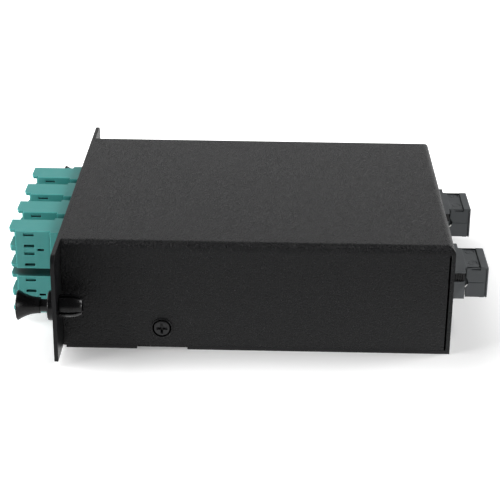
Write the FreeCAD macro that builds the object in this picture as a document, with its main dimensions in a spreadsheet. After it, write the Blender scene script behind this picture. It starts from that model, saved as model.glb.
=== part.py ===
"""Fibre cassette: a folded-sheet module with LC ports in front and multi-fibre ports behind.

X runs from the front plate to the back wall, Y from left to right as the ports are faced from
behind, Z up. Inside every sub-part X starts at the back face of the front plate, Y at the middle
of the box and Z at the underside of the base; each placement then moves the part so that the
origin is the centre of the base's underside. Millimetres.
"""
import FreeCAD
import Part
import math
import os
import re
import Sketcher

V = FreeCAD.Vector
doc = FreeCAD.newDocument("fibre_cassette")

# ---------------------------------------------------------------- driving dimensions
DIMENSIONS = [
    ("body_depth", 117.0, "plate back face to outer face of the back wall"),
    ("body_width", 94.0, "outer faces of the side walls"),
    ("body_height", 35.0, "underside of the base to top of the cover"),
    ("sheet", 1.2, "thickness of the folded sheet"),
    ("seam", 0.05, "gap between the two folded sheets where they meet flat"),
    ("corner_seam", 0.6, "open seam between a side wall and the back wall"),
    ("bend_radius", 2.4, "outer radius of the cover's bends"),
    ("base_bend_radius", 1.6, "outer radius of the bend under the front plate"),
    ("ear_reach", 12.2, "front plate beyond each side wall"),
    ("ear_foot", 1.4, "lower edge of the ears above the underside"),
    ("ear_corner", 2.5, "radius of the ears' upper corners"),
    ("relief", 1.4, "width of the notches at the ends of a bend"),
    ("corner_relief", 0.7, "depth of those notches behind the front plate"),
    ("tab_reach", 10.8, "height of a bent-up tab above the base sheet"),
    ("tab_gap", 0.15, "bent-up tab to the wall that it stands behind"),
    ("tab_width", 12.5, "width of a screw tab"),
    ("rear_tab_width", 12.0, "width of the tab behind the back wall"),
    ("screw_back", 29.9, "cover screw from the plate's back face"),
    ("screw_height", 7.2, "cover screw above the underside"),
    ("screw_shank", 2.9, "diameter of the cover screw's thread"),
    ("screw_head", 5.6, "diameter of the cover screw's head"),
    ("screw_head_rise", 1.2, "height of the cover screw's head"),
    ("screw_length", 5.0, "cover screw under its head"),
    ("screw_fit", 0.05, "radial gap of a screw in its thread"),
    ("screw_clearance", 0.25, "radial gap of a screw in a plain hole"),
    ("latch_out", 6.0, "latch axis beyond the side wall"),
    ("latch_height", 16.9, "latch axis above the underside"),
    ("leg_diameter", 6.7, "split legs of the latch grommet"),
    ("leg_length", 7.0, "split legs behind the plate"),
    ("leg_slot", 0.9, "slots between the legs"),
    ("leg_swell", 0.25, "legs beyond the grommet's neck in the ear, all round"),
    ("leg_tip", 0.29, "wall of the legs at their tips"),
    ("grommet_flange", 9.0, "diameter of the grommet's flange"),
    ("grommet_flange_depth", 1.9, "thickness of the grommet's flange"),
    ("grommet_fit", 0.05, "radial gap of the grommet in its hole"),
    ("pin_diameter", 3.8, "shank of the plunger"),
    ("pin_fit", 0.06, "radial gap of the plunger in the grommet"),
    ("pin_travel", 2.2, "travel of the plunger from pulled to home"),
    ("pin_stop", 0.25, "gap between the plunger's shoulder and the grommet when home"),
    ("pin_collar", 4.6, "diameter of the collar that keeps the plunger in"),
    ("pin_collar_depth", 1.0, "thickness of that collar"),
    ("knob_diameter", 9.0, "wide end of the plunger's trumpet"),
    ("knob_neck", 4.9, "narrow end of the plunger's trumpet"),
    ("knob_length", 6.8, "length of the plunger's trumpet"),
    ("port_pitch", 6.25, "between the two ports of an adapter"),
    ("column_first", -25.0, "first column of adapters from the middle"),
    ("column_pitch", 15.5, "between columns of adapters"),
    ("row_centre", 16.9, "middle of the two rows above the underside"),
    ("row_pitch", 15.2, "between the two rows of adapters"),
    ("adapter_width", 12.6, "adapter across its two ports"),
    ("adapter_depth", 9.4, "adapter from its latch side to its key side"),
    ("adapter_front", 17.4, "adapter's front teeth before the plate's front face"),
    ("adapter_back", 13.2, "adapter's inner end behind the plate's front face"),
    ("latch_wall_setback", 2.3, "latch wall behind the front teeth"),
    ("key_wall_setback", 0.5, "key wall behind the front teeth"),
    ("adapter_flange_reach", 1.3, "adapter's flange beyond its sides"),
    ("adapter_flange_depth", 4.2, "length of that flange"),
    ("adapter_fit", 0.1, "gap round the adapter in its cut-out"),
    ("port_width", 5.0, "inside width of a port"),
    ("port_channel", 4.4, "width of the latch channel of a port"),
    ("adapter_wall", 1.1, "latch wall and key wall of an adapter"),
    ("web", 1.6, "wall between the front and inner ports"),
    ("sleeve_length", 6.8, "split sleeve"),
    ("sleeve_diameter", 1.7, "outside of the split sleeve"),
    ("ferrule_diameter", 1.25, "ceramic ferrule"),
    ("barrel_diameter", 3.3, "barrel round the sleeve"),
    ("clip_sheet", 0.3, "spring clip sheet"),
    ("plug_side", 4.5, "square body of an inner LC plug"),
    ("key_gap", 0.75, "that body to the adapter's key wall"),
    ("arm_gap", 0.45, "latch arm of that plug to the adapter's latch wall"),
    ("plug_length", 16.5, "body of an inner LC plug"),
    ("boot_length", 7.0, "boot of an inner LC plug"),
    ("pigtail_diameter", 0.9, "buffered fibre"),
    ("trunk_spacing", 48.0, "between the two rear adapters"),
    ("trunk_height", 17.0, "rear adapters above the underside"),
    ("rear_flange_width", 22.0, "flange of a rear adapter"),
    ("rear_flange_height", 9.8, "height of that flange"),
    ("rear_body_width", 15.0, "outer body of a rear adapter"),
    ("rear_body_height", 10.0, "outer body of a rear adapter"),
    ("rear_body_depth", 4.9, "outer body of a rear adapter behind the wall"),
    ("rear_inner_depth", 13.0, "rear adapter inside the wall"),
    ("rear_inner_width", 14.4, "rear adapter through the wall"),
    ("rear_inner_height", 9.4, "rear adapter through the wall"),
    ("snout_width", 13.8, "mouth of a rear adapter under its cap"),
    ("snout_height", 8.6, "mouth of a rear adapter under its cap"),
    ("snout_depth", 9.4, "mouth of a rear adapter from the wall"),
    ("bore_width", 12.4, "bore of a rear adapter"),
    ("bore_height", 7.3, "bore of a rear adapter"),
    ("trunk_plug_width", 12.2, "inner multi-fibre plug"),
    ("trunk_plug_height", 7.1, "inner multi-fibre plug"),
    ("trunk_plug_length", 15.0, "inner multi-fibre plug"),
    ("trunk_boot_length", 6.0, "boot of that plug"),
    ("cap_width", 15.2, "dust cap"),
    ("cap_height", 10.0, "dust cap"),
    ("cap_end", 12.4, "dust cap's end from the wall"),
    ("cap_rim", 2.4, "solid end of the dust cap"),
    ("cap_step", 0.35, "top and bottom panels below the cap's rim"),
    ("cap_fit", 0.1, "gap between the cap and what it covers"),
    ("spool_back", 82.0, "spool axis from the plate's back face"),
    ("spool_radius", 16.5, "drum of the fibre spool"),
    ("spool_height", 13.5, "drum of the fibre spool"),
    ("spool_finger", 5.0, "spool's fingers beyond its drum"),
    ("trunk_diameter", 2.0, "ribbon fibre of a trunk in its tube"),
    ("block_front", 50.0, "fan-out block from the plate's back face"),
    ("block_length", 10.0, "fan-out block"),
    ("block_width", 9.0, "fan-out block"),
    ("block_height", 18.0, "fan-out block"),
    ("block_pitch", 2.8, "between the fibres in a fan-out block, upwards"),
    ("block_lane", 3.0, "between the fibres in a fan-out block, sideways"),
    ("block_first", 8.4, "lowest fibre of a fan-out block above the underside"),
    ("block_exit", 4.0, "trunk at a fan-out block above the underside"),
    ("block_exit_side", 2.5, "trunk at a fan-out block from its middle, outwards"),
    ("loop_gap", 1.5, "trunk's loop clear of the spool's drum"),
]

sizes = doc.addObject("Spreadsheet::Sheet", "sizes")
for row, (alias, number, note) in enumerate(DIMENSIONS, start=1):
    sizes.set("A%d" % row, alias)
    sizes.set("B%d" % row, str(number))
    sizes.set("C%d" % row, note)
    sizes.setAlias("B%d" % row, alias)
doc.recompute()

WORDS = re.compile(r"[a-z][a-z_]*")
SIDES = (("left", "-1"), ("right", "1"))
COLUMNS = 4
ROWS = 2
PORTS = ("-0.5", "0.5")


def linked(expression):
    """The expression with every size read from the sheet."""
    return WORDS.sub(lambda word: "sizes." + word.group(0), str(expression))


def value(expression):
    """The expression's number now, in millimetres."""
    return float(sizes.evalExpression(str(expression)))


def bind(target, prop, expression):
    target.setExpression(prop, linked(expression))


def place(target, x="0", y="0", z="0"):
    """Put a finished sub-part in the object's frame."""
    bind(target, "Placement.Base.x", "(%s) - body_depth / 2" % x)
    bind(target, "Placement.Base.y", y)
    bind(target, "Placement.Base.z", z)


# ---------------------------------------------------------------- sketches and features
def new_body(label):
    body = doc.addObject("PartDesign::Body", label)
    body.Label = label
    return body


def origin_plane(body, role):
    return next(item for item in body.Origin.OriginFeatures if item.Role == role)


def new_sketch(body, name, role, offset):
    """A sketch on one of the body's own planes, moved along the plane's normal."""
    sketch = body.newObject("Sketcher::SketchObject", name)
    sketch.AttachmentSupport = (origin_plane(body, role), [""])
    sketch.MapMode = "FlatFace"
    bind(sketch, "AttachmentOffset.Base.z", offset)
    return sketch


def hold(sketch, kind, geometry, point, expression):
    """Keep a point of the sketch at the expression's distance from the origin."""
    number = sketch.addConstraint(
        Sketcher.Constraint(kind, -1, 1, geometry, point, value(expression)))
    sketch.setExpression("Constraints[%d]" % number, linked(expression))


def draw_outline(sketch, points):
    """A closed outline of straight lines through (x, y) expressions."""
    first = sketch.GeometryCount
    spots = [V(value(x), value(y), 0) for x, y in points]
    count = len(spots)
    for i in range(count):
        sketch.addGeometry(Part.LineSegment(spots[i], spots[(i + 1) % count]))
    for i in range(count):
        sketch.addConstraint(
            Sketcher.Constraint("Coincident", first + i, 2, first + (i + 1) % count, 1))
    for i, (x, y) in enumerate(points):
        hold(sketch, "DistanceX", first + i, 1, x)
        hold(sketch, "DistanceY", first + i, 1, y)


def draw_box(sketch, x0, x1, y0, y1):
    draw_outline(sketch, [(x0, y0), (x1, y0), (x1, y1), (x0, y1)])


def draw_circle(sketch, x, y, radius):
    circle = sketch.addGeometry(Part.Circle(V(value(x), value(y), 0), V(0, 0, 1), value(radius)))
    hold(sketch, "DistanceX", circle, 3, x)
    hold(sketch, "DistanceY", circle, 3, y)
    number = sketch.addConstraint(Sketcher.Constraint("Radius", circle, value(radius)))
    sketch.setExpression("Constraints[%d]" % number, linked(radius))


def draw_all(sketch, shapes):
    """Boxes as four expressions, circles as three, outlines as a list of points."""
    for shape in shapes:
        if isinstance(shape, list):
            draw_outline(sketch, shape)
        elif len(shape) == 3:
            draw_circle(sketch, *shape)
        else:
            draw_box(sketch, *shape)


def extrude(body, name, role, low, high, shapes, cut=False):
    """Add or cut the shapes between two levels of the axis that crosses their plane."""
    against = role == "XZ_Plane"
    start = "-(%s)" % (low if cut else high) if against else (high if cut else low)
    sketch = new_sketch(body, name + "_outline", role, start)
    draw_all(sketch, shapes)
    doc.recompute()
    before = body.Shape.Volume if body.Tip else 0.0
    feature = body.newObject("PartDesign::Pocket" if cut else "PartDesign::Pad", name)
    feature.Profile = sketch
    bind(feature, "Length", "(%s) - (%s)" % (high, low))
    feature.Refine = True
    sketch.Visibility = False
    settle(feature)
    change = body.Shape.Volume - before
    if (change > -1e-6) if cut else (change < 1e-6):
        raise RuntimeError("%s of %s changed nothing" % (name, body.Label))
    return feature


def pocket(body, name, role, low, high, shapes):
    return extrude(body, name, role, low, high, shapes, cut=True)


def revolve(body, name, points, x_axis=True):
    """A turned solid: an outline of (along, radius) points spun about the X or the Z axis."""
    sketch = new_sketch(body, name + "_outline", "XZ_Plane", "0")
    if x_axis:
        draw_outline(sketch, points)
    else:
        draw_outline(sketch, [(radius, along) for along, radius in points])
    feature = body.newObject("PartDesign::Revolution", name)
    feature.Profile = sketch
    feature.ReferenceAxis = (sketch, ["H_Axis" if x_axis else "V_Axis"])
    feature.Angle = 360.0
    sketch.Visibility = False
    settle(feature)
    return feature


def edges_of(shape, chosen):
    """Names of the straight edges for which chosen(box, length) holds."""
    names = []
    for number, edge in enumerate(shape.Edges, start=1):
        if isinstance(edge.Curve, Part.Line) and chosen(edge.BoundBox, edge.Length):
            names.append("Edge%d" % number)
    return names


def round_edges(body, name, radius, chosen):
    """Fillet the tip's straight edges for which chosen(box, length) holds."""
    tip = body.Tip
    names = edges_of(tip.Shape, chosen)
    if not names:
        raise RuntimeError("%s of %s found no edge" % (name, body.Label))
    feature = body.newObject("PartDesign::Fillet", name)
    feature.Base = (tip, names)
    bind(feature, "Radius", radius)
    settle(feature)
    return feature


def settle(feature):
    """Recompute and stop at once if the feature could not be made."""
    doc.recompute()
    if "Invalid" in feature.State or "Error" in feature.State:
        raise RuntimeError("%s could not be made" % feature.Label)


def near(a, expression):
    return abs(a - value(expression)) < 0.02


# ---------------------------------------------------------------- primitives and booleans
def block(name, x, y, z):
    """A box between pairs of expressions."""
    box = doc.addObject("Part::Box", name)
    for axis, prop, (low, high) in zip("xyz", ("Length", "Width", "Height"), (x, y, z)):
        bind(box, prop, "(%s) - (%s)" % (high, low))
        bind(box, "Placement.Base." + axis, low)
    return box


def rod(name, radius, x, y, z, wide=None):
    """A cylinder along X, or a cone when a second radius is given for its far end."""
    solid = doc.addObject("Part::Cone" if wide else "Part::Cylinder", name)
    if wide:
        bind(solid, "Radius1", radius)
        bind(solid, "Radius2", wide)
    else:
        bind(solid, "Radius", radius)
    bind(solid, "Height", "(%s) - (%s)" % (x[1], x[0]))
    solid.Placement = FreeCAD.Placement(V(), FreeCAD.Rotation(V(0, 1, 0), 90))
    bind(solid, "Placement.Base.x", x[0])
    bind(solid, "Placement.Base.y", y)
    bind(solid, "Placement.Base.z", z)
    return solid


def fuse(label, parts):
    joined = doc.addObject("Part::MultiFuse", label)
    joined.Shapes = parts
    joined.Refine = True
    joined.Label = label
    return joined


def cut(label, base, tool):
    left = doc.addObject("Part::Cut", label)
    left.Base = base
    left.Tool = tool
    left.Refine = True
    left.Label = label
    return left


def group(label, solids):
    """Separate solids that share one node."""
    compound = doc.addObject("Part::Compound", label)
    compound.Links = solids
    compound.Label = label
    return compound


# ---------------------------------------------------------------- base and front plate
WALL = "body_width / 2"
LATCH = "(body_width / 2 + latch_out)"


def adapter_spots():
    """Number, column and row of each adapter, with its centre as expressions."""
    number = 0
    for row in range(ROWS):
        for column in range(COLUMNS):
            number += 1
            y = "(column_first + %d * column_pitch)" % column
            z = "(row_centre + (%d - 0.5) * row_pitch)" % row
            yield number, column, row, y, z


def adapter_holes():
    half_y = "(adapter_depth / 2 + adapter_fit)"
    half_z = "(adapter_width / 2 + adapter_fit)"
    return [("%s - %s" % (y, half_y), "%s + %s" % (y, half_y),
             "%s - %s" % (z, half_z), "%s + %s" % (z, half_z))
            for _, _, _, y, z in adapter_spots()]


def make_base():
    """Floor, front plate with its two ears, and the tabs bent up inside the cover's walls."""
    body = new_body("base_and_front_plate")
    edge = "(%s)" % WALL
    plate_edge = "(%s + ear_reach)" % WALL
    inner = "(%s - sheet - tab_gap)" % WALL
    extrude(body, "floor", "XY_Plane", "0", "sheet",
            [("-sheet", "body_depth", "-" + edge, edge)])
    extrude(body, "plate", "YZ_Plane", "-sheet", "0",
            [("-" + edge, edge, "0", "body_height")])
    round_edges(body, "bend_outside", "base_bend_radius",
                lambda box, length: near(box.XMax, "-sheet") and box.ZMax < 0.01 and length > 20)
    round_edges(body, "bend_inside", "base_bend_radius - sheet",
                lambda box, length: abs(box.XMax) < 0.01 and near(box.ZMin, "sheet") and length > 20
                and near(box.ZMax, "sheet"))
    extrude(body, "ears", "YZ_Plane", "-sheet", "0",
            [("-" + plate_edge, plate_edge, "ear_foot", "body_height")])
    round_edges(body, "ear_corners", "ear_corner",
                lambda box, length: near(length, "sheet") and near(box.ZMin, "body_height"))
    for side, sign in SIDES:
        low = "-%s - 1" % edge if sign == "-1" else edge + " - relief"
        high = "-%s + relief" % edge if sign == "-1" else edge + " + 1"
        pocket(body, "bend_relief_" + side, "YZ_Plane", "-sheet", "corner_relief",
               [(low, high, "-1", "ear_foot")])
    half_notch = "(tab_width / 2 + relief)"
    for side, sign in SIDES:
        y = sorted((sign + " * " + inner, sign + " * (%s + 1)" % edge), key=value)
        pocket(body, "tab_notch_" + side, "XY_Plane", "0", "sheet",
               [("screw_back - " + half_notch, "screw_back + " + half_notch, y[0], y[1])])
        y = sorted((sign + " * " + inner, sign + " * (%s - sheet)" % inner), key=value)
        tab = "tab_width / 2"
        extrude(body, "screw_tab_" + side, "XY_Plane", "0", "sheet + tab_reach",
                [("screw_back - " + tab, "screw_back + " + tab, y[0], y[1])])
    back = "(body_depth - sheet - tab_gap)"
    half_rear = "rear_tab_width / 2"
    extrude(body, "rear_tab", "XY_Plane", "sheet / 2", "sheet + tab_reach",
            [(back + " - sheet", back, "-" + half_rear, half_rear)])
    pocket(body, "adapter_holes", "YZ_Plane", "-sheet", "0", adapter_holes())
    pocket(body, "latch_holes", "YZ_Plane", "-sheet", "0",
           [(sign + " * " + LATCH, "latch_height", "leg_diameter / 2 - leg_swell + grommet_fit")
            for _, sign in SIDES])
    pocket(body, "screw_threads", "XZ_Plane", "-" + edge, edge,
           [("screw_back", "screw_height", "screw_shank / 2 + screw_fit")])
    extrude(body, "spool_stud", "XY_Plane", "sheet / 2", "sheet + 3",
            [("spool_back", "0", "3")])
    pocket(body, "spool_thread", "XY_Plane", "0", "sheet + 3",
           [("spool_back", "0", "screw_shank / 2 + screw_fit")])
    place(body)
    return body


# ---------------------------------------------------------------- cover
PLUG_FRONT = "(-rear_inner_depth + 9)"


def trunk_y(sign):
    return "(%s * trunk_spacing / 2)" % sign


def make_cover():
    """Top, side walls and back wall folded from one sheet, open in front and below."""
    body = new_body("cover")
    front = "seam"
    foot = "(sheet + seam)"
    edge = "(%s)" % WALL
    inside = "(%s - sheet)" % WALL
    extrude(body, "outside", "XY_Plane", foot, "body_height",
            [(front, "body_depth", "-" + edge, edge)])
    round_edges(body, "bends_outside", "bend_radius",
                lambda box, length: near(box.ZMin, "body_height") and box.XMax > 1)
    pocket(body, "inside", "XY_Plane", foot + " - 1", "body_height - sheet - bend_radius",
           [(front + " - 1", "body_depth - sheet", "-" + inside, inside)])
    curve = "(bend_radius - sheet)"
    flat = "(%s - bend_radius)" % edge
    shoulder = "(body_height - sheet - bend_radius)"
    ceiling = "(body_height - sheet)"
    pocket(body, "under_the_top", "YZ_Plane", front + " - 1", "body_depth - bend_radius",
           [[("-" + inside, shoulder), (inside, shoulder), (inside, ceiling + " - " + curve),
             (flat, ceiling), ("-" + flat, ceiling), ("-" + inside, ceiling + " - " + curve)]])
    pocket(body, "under_the_back_bend", "XZ_Plane", "-" + flat, flat,
           [[("body_depth - bend_radius - 0.1", shoulder), ("body_depth - sheet", shoulder),
             ("body_depth - sheet", ceiling + " - " + curve),
             ("body_depth - bend_radius", ceiling), ("body_depth - bend_radius - 0.1", ceiling)]])
    seam_front = "(body_depth - sheet - corner_seam)"
    for side, sign in SIDES:
        y = sorted((sign + " * (%s - 0.3)" % inside, sign + " * (%s + 1)" % edge), key=value)
        pocket(body, "corner_seam_" + side, "XY_Plane", foot + " - 1",
               "body_height - bend_radius",
               [(seam_front, "body_depth - sheet", y[0], y[1])])
    pocket(body, "screw_holes", "XZ_Plane", "-" + edge, edge,
           [("screw_back", "screw_height", "screw_shank / 2 + screw_clearance")])
    half_y = "(rear_inner_width / 2 + adapter_fit)"
    half_z = "(rear_inner_height / 2 + adapter_fit)"
    pocket(body, "rear_holes", "YZ_Plane", "body_depth - sheet - 0.5", "body_depth",
           [(trunk_y(sign) + " - " + half_y, trunk_y(sign) + " + " + half_y,
             "trunk_height - " + half_z, "trunk_height + " + half_z) for _, sign in SIDES])
    place(body)
    return body


# ---------------------------------------------------------------- screws
def make_pan_screw(name, x, y, z, turn):
    """Pan head screw with a cross recess, its head standing off at the given place."""
    body = new_body(name)
    head = "screw_head / 2"
    shank = "screw_shank / 2"
    revolve(body, "turned", [
        ("-screw_length", "0"), ("-screw_length", shank + " - 0.4"),
        ("-screw_length + 0.5", shank), ("0", shank), ("0", head),
        ("screw_head_rise * 0.5", head), ("screw_head_rise * 0.85", head + " * 0.78"),
        ("screw_head_rise", head + " * 0.45"), ("screw_head_rise", "0")])
    arm = "screw_head * 0.29"
    half_slot = "screw_head * 0.06"
    pocket(body, "recess", "YZ_Plane", "screw_head_rise * 0.15", "screw_head_rise + 0.1",
           [[("-" + arm, "-" + half_slot), ("-" + half_slot, "-" + half_slot),
             ("-" + half_slot, "-" + arm), (half_slot, "-" + arm), (half_slot, "-" + half_slot),
             (arm, "-" + half_slot), (arm, half_slot), (half_slot, half_slot), (half_slot, arm),
             ("-" + half_slot, arm), ("-" + half_slot, half_slot), ("-" + arm, half_slot)]])
    body.Placement = FreeCAD.Placement(V(), turn)
    place(body, x, y, z)
    return body


# ---------------------------------------------------------------- push-pull latches
def make_grommet(side, sign):
    """Flanged grommet whose four split legs reach through the ear and the rack frame's hole."""
    body = new_body("latch_grommet_" + side)
    leg = "leg_diameter / 2"
    neck = leg + " - leg_swell"
    bore = "pin_diameter / 2 + pin_fit"
    chamber = "pin_collar / 2 + pin_fit"
    shoulder = "(pin_travel + pin_collar_depth)"
    revolve(body, "turned", [
        ("-sheet - grommet_flange_depth", bore),
        ("-sheet - grommet_flange_depth", "grommet_flange / 2 - 0.3"),
        ("-sheet - grommet_flange_depth + 0.3", "grommet_flange / 2"),
        ("-sheet", "grommet_flange / 2"), ("-sheet", neck), ("grommet_fit", neck),
        ("grommet_fit + leg_swell", leg), ("leg_length - 1.6", leg),
        ("leg_length", chamber + " + leg_tip"), ("leg_length", chamber),
        ("leg_length - %s - 0.6" % shoulder, chamber),
        ("leg_length - %s - 0.6" % shoulder, bore)])
    half_slot = "leg_slot / 2"
    pocket(body, "slot_upright", "XZ_Plane", "-leg_diameter", "leg_diameter",
           [("0", "leg_length + 1", "-" + half_slot, half_slot)])
    pocket(body, "slot_level", "XY_Plane", "-leg_diameter", "leg_diameter",
           [("0", "leg_length + 1", "-" + half_slot, half_slot)])
    body.Placement = FreeCAD.Placement(V(), FreeCAD.Rotation(V(1, 0, 0), 16.5))
    place(body, "0", sign + " * " + LATCH, "latch_height")
    return body


def make_plunger(side, sign):
    """Trumpet-headed pin, pulled out; a collar in the grommet's chamber keeps it captive."""
    body = new_body("latch_plunger_" + side)
    neck = "(-sheet - grommet_flange_depth - pin_travel - pin_stop)"
    face = "(%s - knob_length)" % neck
    pin = "pin_diameter / 2"
    collar = "(leg_length - pin_travel - pin_collar_depth - 0.3)"
    flare = [("%s + knob_length * %.3f" % (face, along),
              "knob_neck / 2 + (knob_diameter - knob_neck) / 2 * %.3f" % out)
             for along, out in ((0.04, 1.0), (0.09, 0.92), (0.2, 0.66), (0.33, 0.42),
                                (0.48, 0.22), (0.64, 0.09), (0.82, 0.02), (1.0, 0.0))]
    revolve(body, "turned", [
        (face + " - 0.35", "0"), (face + " - 0.15", "knob_diameter * 0.3"),
        (face, "knob_diameter / 2 - 0.25")] + flare + [
        (neck, pin), (collar, pin), (collar, "pin_collar / 2"),
        (collar + " + pin_collar_depth", "pin_collar / 2 - 0.1"),
        (collar + " + pin_collar_depth", "0")])
    place(body, "0", sign + " * " + LATCH, "latch_height")
    return body


# ---------------------------------------------------------------- LC adapters
LATCH_WALL = "(-adapter_depth / 2 + adapter_wall)"
KEY_WALL = "(adapter_depth / 2 - adapter_wall)"
FERRULE = "(%s - key_gap - plug_side / 2)" % KEY_WALL


def port_z(port):
    return "(%s * port_pitch)" % port


def make_lc_adapter(number, y, z):
    """Duplex adapter, local X from the plate's front face, latch side towards -Y."""
    body = new_body("lc_adapter_%d" % number)
    half_y = "adapter_depth / 2"
    half_z = "adapter_width / 2"
    half_port = "port_width / 2"
    step = "(%s - port_width / 2)" % FERRULE
    extrude(body, "housing", "YZ_Plane", "-adapter_front", "adapter_back",
            [("-" + half_y, half_y, "-" + half_z, half_z)])
    round_edges(body, "long_edges", "0.25", lambda box, length: length > 20)
    flange_y = "(%s + adapter_flange_reach)" % half_y
    extrude(body, "flange", "YZ_Plane", "-adapter_flange_depth", "0",
            [("-" + flange_y, flange_y, "-" + half_z, half_z)])
    ports = [("%s - %s" % (port_z(port), half_port), "%s + %s" % (port_z(port), half_port))
             for port in PORTS]
    wall_front = "-adapter_front + latch_wall_setback"
    pocket(body, "latch_side_step", "XY_Plane", "-%s - 1" % half_z, half_z + " + 1",
           [[("-adapter_front - 1", "-%s - 1" % half_y), (wall_front, "-%s - 1" % half_y),
             (wall_front, LATCH_WALL + " + 0.01"), ("-adapter_front + 0.7", LATCH_WALL + " + 0.01"),
             ("-adapter_front", LATCH_WALL + " + 1.9"), ("-adapter_front - 1", LATCH_WALL + " + 1.9")]])
    pocket(body, "key_wall_notch", "YZ_Plane", "-adapter_front",
           "-adapter_front + key_wall_setback",
           [(KEY_WALL + " - 0.01", half_y + " + 1", low, high) for low, high in ports])
    middle = "(adapter_back - adapter_front) / 2 + 1.3"
    for end, low, high in (("front", "-adapter_front", middle + " - web / 2"),
                           ("inner", middle + " + web / 2", "adapter_back")):
        pocket(body, end + "_ports", "YZ_Plane", low, high,
               [(step, KEY_WALL, z0, z1) for z0, z1 in ports])
        stop = (low, high + " - 2.4") if end == "front" else (low + " + 2.4", high)
        half_channel = "port_channel / 2"
        pocket(body, end + "_channels", "YZ_Plane", stop[0], stop[1],
               [(LATCH_WALL, step + " + 0.01", "%s - %s" % (port_z(port), half_channel),
                 "%s + %s" % (port_z(port), half_channel)) for port in PORTS])
    barrel = ("%s - sleeve_length / 2" % middle, "%s + sleeve_length / 2" % middle)
    extrude(body, "barrels", "YZ_Plane", barrel[0], barrel[1],
            [(FERRULE, port_z(port), "barrel_diameter / 2") for port in PORTS])
    pocket(body, "sleeve_bores", "YZ_Plane", barrel[0], barrel[1],
           [(FERRULE, port_z(port), "sleeve_diameter / 2 + 0.03") for port in PORTS])
    slots = []
    for port in PORTS:
        for side in ("-1.87", "1.87"):
            centre = "%s + %s" % (port_z(port), side)
            slots.append(("-adapter_front + 4.95", "-adapter_front + 8.0",
                          centre + " - 0.42", centre + " + 0.42"))
    pocket(body, "latch_slots", "XZ_Plane", "-" + half_y, LATCH_WALL + " + 0.05", slots)
    pocket(body, "short_slot", "XZ_Plane", "-" + half_y, "-%s + 1.5" % half_y,
           [("-adapter_front + 9.0", "-adapter_front + 11.0", "-0.32", "0.32")])
    place(body, "-sheet", y, z)
    return body


def make_adapter_clip(number, y, z):
    """Spring clip: a strap over the key side with a wing that snaps out behind the plate."""
    half_y = "adapter_depth / 2"
    half_z = "adapter_width / 2"
    solids = [block("clip_strap_%d" % number, ("sheet + 4.3", "sheet + 8"),
                    (half_y, half_y + " + clip_sheet"),
                    ("-%s - clip_sheet" % half_z, half_z + " + clip_sheet"))]
    for side, sign in SIDES:
        z_leaf = sorted((sign + " * (%s)" % half_z, sign + " * (%s + clip_sheet)" % half_z),
                        key=value)
        solids.append(block("clip_leaf_%s_%d" % (side, number), ("sheet + 4.3", "sheet + 8"),
                            ("-%s + 2" % half_y, half_y + " + clip_sheet"), z_leaf))
        wing = new_body("clip_wing_%s_%d" % (side, number))
        root = "%s * (%s)" % (sign, half_z)
        extrude(wing, "wing", "XZ_Plane", "-%s + 2.6" % half_y, half_y + " - 1",
                [[("sheet + 4.4", root), ("sheet + 4.4", root + " + %s * clip_sheet" % sign),
                  ("sheet + 0.2", root + " + %s * 1.15" % sign),
                  ("sheet + 0.2", root + " + %s * 0.85" % sign)]])
        solids.append(wing)
    clip = fuse("clip_%d" % number, solids)
    place(clip, "-sheet", y, z)
    return clip


def make_sleeve(name, y, z):
    """Split ceramic sleeve in the middle of a port."""
    middle = "(adapter_back - adapter_front) / 2 + 1.3"
    span = ("%s - sleeve_length / 2" % middle, "%s + sleeve_length / 2" % middle)
    tube = rod(name + "_outside", "sleeve_diameter / 2", span, "0", "0")
    bore = rod(name + "_bore", "ferrule_diameter / 2 + 0.02", span, "0", "0")
    slit = block(name + "_slit", span, ("-0.12", "0.12"), ("0", "sleeve_diameter"))
    sleeve = cut(name, tube, fuse(name + "_hollow", [bore, slit]))
    place(sleeve, "-sheet", y + " + " + FERRULE, z)
    return sleeve


def make_ferrule(name, y, z):
    """Ceramic ferrule of an inner plug, its tip in the middle of the sleeve."""
    middle = "(adapter_back - adapter_front) / 2 + 1.3"
    ferrule = rod(name, "ferrule_diameter / 2", (middle, middle + " + 6.5"), "0", "0")
    place(ferrule, "-sheet + " + middle, y + " + " + FERRULE, z)
    return ferrule


def make_inner_plug(name, y, z):
    """Inner LC plug: square body with a latch arm, bored for its ferrule and its fibre."""
    middle = "((adapter_back - adapter_front) / 2 + 1.3)"
    start = "(%s + sleeve_length / 2 + 0.4)" % middle
    end = "(%s + plug_length)" % start
    half = "plug_side / 2"
    outside = "(%s + arm_gap - %s)" % (LATCH_WALL, FERRULE)
    body = block(name + "_body", (start, end), ("-" + half, half), ("-" + half, half))
    arm = block(name + "_arm", (start + " + 1", start + " + 10.5"),
                (outside, outside + " + 0.8"), ("-1.3", "1.3"))
    root = block(name + "_arm_root", (start + " + 1", start + " + 2"),
                 (outside + " + 0.5", "0"), ("-1.3", "1.3"))
    seat = rod(name + "_ferrule_seat", "ferrule_diameter / 2 + 0.02",
               (start, middle + " + 6.6"), "0", "0")
    plug = cut(name, fuse(name + "_outside", [body, arm, root]), seat)
    place(plug, "-sheet", y + " + " + FERRULE, z)
    return plug


def boot_start():
    """Inner end of an LC plug, from the plate's back face."""
    return ("(-sheet + (adapter_back - adapter_front) / 2 + 1.3 + sleeve_length / 2 + 0.4"
            " + plug_length)")


def make_boot(name, y, z):
    boot = rod(name, "1.7", (boot_start(), boot_start() + " + boot_length"), "0", "0", wide="0.9")
    place(boot, boot_start(), y + " + " + FERRULE, z)
    return boot


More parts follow.
